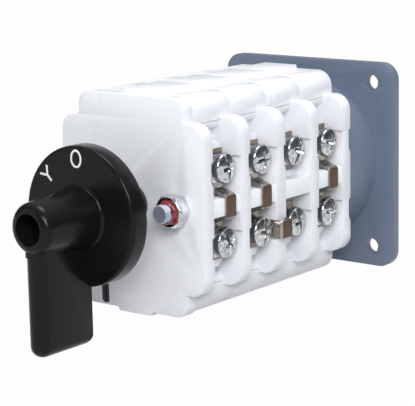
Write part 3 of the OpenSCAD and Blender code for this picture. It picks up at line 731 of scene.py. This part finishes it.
class Knob(bpy.types.Operator):
    """Models the lever knob with its disc, hub and lever"""
    bl_idname = "cam_switch.knob"
    bl_label = "Knob"

    def execute(self, context):
        piece = from_node("knob", "knob_moulding")
        soften(piece, 0.5 * MM, 3, 40)
        self.round_lever(piece, context.scene.cam_switch_knob)
        finish_piece(piece, "rotor", ["knob"], "black_plastic")
        return {"FINISHED"}

    def round_lever(self, piece, knob):
        """Rounds the lever's front and lower end, with a cutter that is hollow where the lever stays."""
        low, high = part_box("knob")
        gap = 0.01 * MM
        margin = 2 * MM
        low_margin = 3 * MM
        front_depth = 14 * MM
        half = knob.lever_width / 2
        front_y = low.y + knob.lever_set_back
        disc_low_z = -high.z
        block = self.box(
            "front_block", (-half - margin, front_y - margin, low.z - margin),
            (half + margin, front_y + front_depth, knob.lever_top))
        low_block = self.box(
            "low_block", (-half - low_margin, front_y - low_margin, low.z - low_margin),
            (half + low_margin, high.y + margin, disc_low_z - margin))
        combine(block, low_block, "UNION")
        kept = self.box(
            "kept_lever", (-half - gap, front_y - gap, low.z - gap),
            (half + gap, high.y + 4 * margin, 0))
        soften(kept, knob.lever_round, 8)
        combine(block, kept, "DIFFERENCE")
        combine(piece, block, "DIFFERENCE")

    def box(self, name, low, high):
        centre = [(a + b) / 2 for a, b in zip(low, high)]
        size = [b - a for a, b in zip(low, high)]
        deselect()
        bpy.ops.mesh.primitive_cube_add(size=1, location=centre, scale=size)
        piece = named(name)
        bpy.ops.object.transform_apply(location=True, rotation=True, scale=True)
        return piece


class DialMarks(bpy.types.Operator):
    """Paints the zero, star and delta marks on the knob's disc"""
    bl_idname = "cam_switch.dial_marks"
    bl_label = "Dial marks"

    def execute(self, context):
        knob = context.scene.cam_switch_knob
        low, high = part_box("knob")
        disc_thickness = 5.1 * MM
        face_y = high.y - disc_thickness
        layer = 0.12 * MM
        low_z = -knob.letter_height / 2
        high_z = knob.letter_height / 2
        half_width_share = 0.44
        half_w = knob.letter_height * half_width_share
        zero = self.zero(knob.mark_width / 2, knob.mark_height / 2, knob.mark_stroke, layer)
        star = self.strokes("star_mark", (
            ((0, low_z), (0, 0)),
            ((0, 0), (-half_w, high_z)),
            ((0, 0), (half_w, high_z))), knob.mark_stroke, layer)
        delta = self.strokes("delta_mark", (
            ((-half_w, low_z), (half_w, low_z)),
            ((half_w, low_z), (0, high_z)),
            ((0, high_z), (-half_w, low_z))), knob.mark_stroke, layer)
        aside = -0.4 * MM
        for name, place, radius, piece in (
                ("zero_mark", 0, knob.mark_radius, zero),
                ("star_mark", 1, knob.letter_radius, star),
                ("delta_mark", 2, knob.letter_radius, delta)):
            turn = Matrix.Rotation(-place * knob.step, 4, "Y")
            up = Matrix.Translation((aside, face_y, radius))
            move_mesh(piece, turn @ up)
            piece.name = name
            finish_piece(piece, "rotor", [], "black_plastic", "dial_paint")
        return {"FINISHED"}

    def zero(self, half_w, half_h, stroke, layer):
        """A torus pressed to the zero's width and height, with the stroke's width and the layer's depth."""
        tube_r = 0.25
        deselect()
        bpy.ops.mesh.primitive_torus_add(
            major_radius=1, minor_radius=tube_r, major_segments=64, minor_segments=12,
            rotation=(math.pi / 2, 0, 0))
        piece = named("zero_mark")
        bpy.ops.object.transform_apply(location=True, rotation=True, scale=True)
        for vertex in piece.data.vertices:
            place = vertex.co
            reach = math.hypot(place.x, place.z)
            out = (reach - 1) / tube_r * stroke / 2
            normal = Vector((place.x / reach, 0, place.z / reach))
            middle = Vector((normal.x * (half_w - stroke / 2), 0, normal.z * (half_h - stroke / 2)))
            vertex.co = middle + normal * out + Vector((0, place.y / tube_r * layer, 0))
        piece.data.update()
        return piece

    def strokes(self, name, lines, stroke, layer):
        """One rounded bar for each line, joined into one mark."""
        overlap = stroke * 0.8
        rounding = stroke * 0.3
        pieces = []
        for number, (start, end) in enumerate(lines):
            deselect()
            direction = Vector((end[0] - start[0], 0, end[1] - start[1]))
            length = direction.length + overlap
            bpy.ops.mesh.primitive_cube_add(size=1)
            piece = named(f"{name}_{number}")
            piece.scale = (stroke, 2 * layer, length)
            bpy.ops.object.transform_apply(location=False, rotation=False, scale=True)
            soften(piece, rounding, 3, 30)
            angle = math.atan2(direction.x, direction.z)
            middle = Vector(((start[0] + end[0]) / 2, 0, (start[1] + end[1]) / 2))
            move_mesh(piece, Matrix.Translation(middle) @ Matrix.Rotation(angle, 4, "Y"))
            pieces.append(piece)
        body = pieces[0]
        for other in pieces[1:]:
            combine(body, other, "UNION")
        return body


class TerminalScrews(bpy.types.Operator):
    """Models the terminal screws: domed heads with a cross recess and a slot, on threaded shanks"""
    bl_idname = "cam_switch.terminal_screws"
    bl_label = "Terminal screws"

    def execute(self, context):
        metal = context.scene.cam_switch_metal
        rng = random.Random(5)
        pattern = self.screw(metal.head / 2, metal.head_height, metal.edge)
        for number in CHAMBERS:
            node = f"terminal_screws_{number}"
            low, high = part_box(node)
            seat_x = high.x - metal.head_height
            screw_z = high.z - metal.head / 2
            group = []
            for side in (-1, 1):
                for end in (-1, 1):
                    screw = copy_of(pattern, f"{node}_{side}_{end}")
                    turn = Matrix.Rotation(rng.uniform(0, math.pi), 4, "Y")
                    lay = Matrix.Rotation(side * math.pi / 2, 4, "Z")
                    place = Matrix.Translation((side * seat_x, (low.y + high.y) / 2, end * screw_z))
                    move_mesh(screw, place @ lay @ turn)
                    group.append(screw)
            piece = join(group, f"{node}_plated")
            # The finish paints shade into the cross recesses, the slots and under the heads' rims.
            finish_piece(piece, "housing", [node], "zinc_screw", "screw_plating_and_shade", 40)
        bpy.data.objects.remove(pattern)
        return {"FINISHED"}

    def screw(self, head_r, head_h, edge):
        """One screw with its head towards -Y and its seat at zero."""
        crown_h = 1.0 * MM
        dome_r = (head_r ** 2 + crown_h ** 2) / (2 * crown_h)
        shoulder = 0.6 * MM
        profile = []
        dome_steps = 8
        for step in range(dome_steps + 1):
            radius = (head_r - shoulder) * step / dome_steps
            profile.append((radius, dome_r - math.sqrt(dome_r ** 2 - radius ** 2) - head_h))
        shoulder_y = profile[-1][1] + shoulder
        for degrees in (30, 55, 75, 90):
            angle = math.radians(degrees)
            profile.append((
                head_r - shoulder + shoulder * math.sin(angle), shoulder_y - shoulder * math.cos(angle)))
        profile += [(head_r, -0.3 * MM), (head_r - 0.1 * MM, -0.1 * MM), (head_r - 0.3 * MM, 0)]
        shank_r = 2.0 * MM
        root_r = 1.62 * MM
        pitch = 0.7 * MM
        thread_end = 6.6 * MM
        shank_end = 7.6 * MM
        y = 0.0
        while y < thread_end:
            profile += [
                (root_r, y), (root_r, y + 0.1 * MM), (shank_r, y + 0.35 * MM), (shank_r, y + 0.45 * MM)]
            y += pitch
        profile += [(root_r, y), (root_r - 0.4 * MM, shank_end), (0, shank_end)]
        piece = lathe("screw_pattern", profile, 48)
        combine(piece, self.cross_cutter(head_h), "DIFFERENCE")
        combine(piece, self.slot_cutter(head_r, head_h), "DIFFERENCE")
        soften(piece, edge * 0.6, 2, 35)
        return piece

    def cross_cutter(self, head_h):
        """A four-armed recess that narrows downwards."""
        arm = 2.5 * MM
        half_w = 0.62 * MM
        depth = 2.1 * MM
        above = 0.4 * MM
        floor_share = 0.42
        outline = []
        for quarter in range(4):
            turn = Matrix.Rotation(quarter * math.pi / 2, 4, "Y")
            for x, z in ((half_w, half_w), (arm, half_w), (arm, -half_w)):
                outline.append(tuple(turn @ Vector((x, -head_h - above, z))))
        outline.append(outline[0])
        piece = slab("cross_cutter", outline, (0, depth + above, 0))
        for vertex in piece.data.vertices:
            if vertex.co.y > -head_h:
                vertex.co.x *= floor_share
                vertex.co.z *= floor_share
        piece.data.update()
        return piece

    def slot_cutter(self, head_r, head_h):
        half_w = 0.5 * MM
        depth = 0.95 * MM
        above = 0.4 * MM
        reach = head_r + above
        corners = (
            (-half_w, -reach), (half_w, -reach), (half_w, reach), (-half_w, reach), (-half_w, -reach))
        outline = [(x, -head_h - above, z) for x, z in corners]
        return slab("slot_cutter", outline, (0, depth + above, 0))


class TerminalMetal(bpy.types.Operator):
    """Models the clamp washers, terminal strips and straps"""
    bl_idname = "cam_switch.terminal_metal"
    bl_label = "Terminal metal"

    def execute(self, context):
        edge = context.scene.cam_switch_metal.edge
        for number in CHAMBERS:
            for kind, finish in (("clamp_washers", "zinc_washer"), ("terminal_strips", "brass")):
                node = f"{kind}_{number}"
                piece = from_node(node, f"{node}_stamped")
                soften(piece, edge, 2, 30)
                finish_piece(piece, "housing", [node], finish)
        straps = [f"strap_{number}" for number in STRAPPED_CHAMBERS] + ["cross_strap"]
        for node in straps:
            piece = from_node(node, f"{node}_bent")
            soften(piece, edge * 2, 3, 25)
            finish_piece(
                piece, "housing", [node], "nickel_strap",
                "nickel_cross_strap" if node == "cross_strap" else "nickel_strap")
        return {"FINISHED"}


class TieFasteners(bpy.types.Operator):
    """Models the tie bolts, their nuts and the locking lacquer"""
    bl_idname = "cam_switch.tie_fasteners"
    bl_label = "Tie fasteners"

    def execute(self, context):
        metal = context.scene.cam_switch_metal
        low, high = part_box("tie_bolts")
        nut_low, nut_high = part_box("tie_nuts")
        head_r = 4.5 * MM
        bolt_x = high.x - head_r
        self.bolts(metal.bolt / 2, head_r, low, high, nut_high, bolt_x)
        self.nuts(metal.bolt / 2, metal.nut, nut_low, nut_high, bolt_x)
        self.lacquer(metal.bolt / 2, metal.nut / 2, nut_low.y, bolt_x)
        return {"FINISHED"}

    def bolts(self, radius, head_r, low, high, nut_high, bolt_x):
        pitch = 0.8 * MM
        thread_depth = 0.32 * MM
        head_h = 3.4 * MM
        chamfer = 0.3 * MM
        crest_r = radius - 0.03 * MM
        root_r = radius - thread_depth
        profile = [(0, low.y), (radius - chamfer * 1.2, low.y), (radius - 0.05 * MM, low.y + chamfer)]
        y = low.y + chamfer
        while y < nut_high.y:
            profile += [(crest_r, y + pitch * 0.1), (root_r, y + pitch * 0.45), (root_r, y + pitch * 0.6)]
            y += pitch
        head_front = high.y - head_h
        profile += [
            (radius, y), (radius, head_front), (head_r, head_front), (head_r, high.y - chamfer),
            (head_r - chamfer, high.y), (0, high.y)]
        pair = []
        for side in (-1, 1):
            bolt = lathe(f"tie_bolt_{side}", profile, 48)
            move_mesh(bolt, Matrix.Translation((side * bolt_x, 0, 0)))
            pair.append(bolt)
        piece = join(pair, "tie_bolts_plated")
        finish_piece(piece, "housing", ["tie_bolts"], "steel", "dull_zinc")

    def nuts(self, bolt_r, across, low, high, bolt_x):
        height = high.y - low.y
        corner_r = across / 2 / math.cos(math.pi / 6)
        bore_r = bolt_r + 0.05 * MM
        pair = []
        for side in (-1, 1):
            deselect()
            bpy.ops.mesh.primitive_cylinder_add(
                vertices=6, radius=corner_r, depth=height, rotation=(math.pi / 2, 0, 0))
            nut = named(f"tie_nut_{side}")
            bpy.ops.object.transform_apply(location=True, rotation=True, scale=True)
            chamfer = lathe("nut_chamfer", [
                (0, -height / 2), (across / 2 - 0.1 * MM, -height / 2),
                (corner_r + 0.02 * MM, -height / 2 + 0.45 * MM),
                (corner_r + 0.02 * MM, height / 2 - 0.45 * MM),
                (across / 2 - 0.1 * MM, height / 2), (0, height / 2)], 64)
            combine(nut, chamfer, "INTERSECT")
            bore = lathe(
                "nut_bore", [(0, -height), (bore_r, -height), (bore_r, height), (0, height)], 48)
            combine(nut, bore, "DIFFERENCE")
            soften(nut, 0.12 * MM, 2, 35)
            turn = Matrix.Rotation(math.radians(30), 4, "Y")
            place = Matrix.Translation((side * bolt_x, (low.y + high.y) / 2, 0))
            move_mesh(nut, place @ turn)
            pair.append(nut)
        piece = join(pair, "tie_nuts_plated")
        finish_piece(piece, "housing", ["tie_nuts"], "zinc_screw", None, 25)

    def lacquer(self, bolt_r, nut_r, front_y, bolt_x):
        """A smear of lacquer round each bolt's root, drawn out unevenly over the nut's face."""
        rng = random.Random(11)
        wave_count = 5
        unevenness = 0.3
        still_share = 0.25
        root_r = bolt_r - 0.3 * MM
        spread = nut_r - root_r
        pair = []
        for side in (-1, 1):
            ring = lathe(f"lacquer_{side}", [
                (root_r, front_y + 0.2 * MM), (root_r, front_y - 1.3 * MM),
                (bolt_r + 0.05 * MM, front_y - 1.2 * MM), (bolt_r + 0.2 * MM, front_y - 0.6 * MM),
                (bolt_r + 0.5 * MM, front_y - 0.25 * MM), (nut_r - 0.5 * MM, front_y - 0.14 * MM),
                (nut_r - 0.2 * MM, front_y + 0.05 * MM), (root_r, front_y + 0.2 * MM)], 72)
            phases = [rng.uniform(0, 2 * math.pi) for _ in range(wave_count)]
            for vertex in ring.data.vertices:
                angle = math.atan2(vertex.co.z, vertex.co.x)
                reach = math.hypot(vertex.co.x, vertex.co.z)
                share = max(0, (reach - bolt_r) / spread)
                waves = [math.sin(angle * turns + phase) for turns, phase in enumerate(phases, 1)]
                wave = sum(waves) / wave_count
                grown = reach * (1 + unevenness * (wave - still_share) * share)
                vertex.co.x *= grown / reach
                vertex.co.z *= grown / reach
                if vertex.co.y < front_y - 0.5 * MM:
                    vertex.co.y += 0.5 * MM * wave
            ring.data.update()
            move_mesh(ring, Matrix.Translation((side * bolt_x, 0, 0)))
            pair.append(ring)
        piece = join(pair, "locking_lacquer")
        finish_piece(piece, "housing", [], "zinc_screw", "red_lacquer", 60)


class SpindleParts(bpy.types.Operator):
    """Models the spindle, the lock finger and the knob's screw"""
    bl_idname = "cam_switch.spindle_parts"
    bl_label = "Spindle parts"

    def execute(self, context):
        edge = context.scene.cam_switch_metal.edge
        for node, finish, width in (
                ("spindle", "steel", edge),
                ("lock_finger", "black_plastic", 2 * edge),
                ("knob_screw", "zinc_screw", edge)):
            piece = from_node(node, f"{node}_finished")
            soften(piece, width, 2, 35)
            finish_piece(piece, "rotor", [node], finish)
        return {"FINISHED"}


class Mechanism(bpy.types.Operator):
    """Finishes the cams, indexing parts, lifters, bridges and springs inside"""
    bl_idname = "cam_switch.mechanism"
    bl_label = "Mechanism"

    def execute(self, context):
        slots = {row["node"]: row["material_slot"] for row in frame["record"]["subparts"]}
        inside = ("cam_", "index_", "lifter", "bridge", "spring")
        for node in frame["nodes"]:
            if node.startswith(inside):
                dress_node(node, slots[node])
        return {"FINISHED"}


class CamSwitchPanel(bpy.types.Panel):
    """Lists the operators that build the cam switch"""
    bl_idname = "VIEW3D_PT_cam_switch"
    bl_label = "Cam Switch"
    bl_space_type = "VIEW_3D"
    bl_region_type = "UI"
    bl_category = "Cam Switch"

    def draw(self, context):
        for operator in OPERATORS:
            self.layout.operator(operator.bl_idname)


SETTINGS = {
    "cam_switch_housing": HousingSettings,
    "cam_switch_knob": KnobSettings,
    "cam_switch_metal": MetalSettings,
    "cam_switch_stage": StageSettings,
}
OPERATORS = (
    Stage, Housing, BasePlate, Knob, DialMarks, TerminalScrews, TerminalMetal,
    TieFasteners, SpindleParts, Mechanism,
)


def register():
    for name, group in SETTINGS.items():
        bpy.utils.register_class(group)
        setattr(bpy.types.Scene, name, PointerProperty(type=group))
    for operator in OPERATORS:
        bpy.utils.register_class(operator)
    bpy.utils.register_class(CamSwitchPanel)


def unregister():
    bpy.utils.unregister_class(CamSwitchPanel)
    for operator in reversed(OPERATORS):
        bpy.utils.unregister_class(operator)
    for name, group in SETTINGS.items():
        delattr(bpy.types.Scene, name)
        bpy.utils.unregister_class(group)


def main():
    register()
    bpy.ops.cam_switch.stage()
    bpy.ops.cam_switch.housing()
    bpy.ops.cam_switch.base_plate()
    bpy.ops.cam_switch.knob()
    bpy.ops.cam_switch.dial_marks()
    bpy.ops.cam_switch.terminal_screws()
    bpy.ops.cam_switch.terminal_metal()
    bpy.ops.cam_switch.tie_fasteners()
    bpy.ops.cam_switch.spindle_parts()
    bpy.ops.cam_switch.mechanism()


if __name__ == "__main__":
    main()
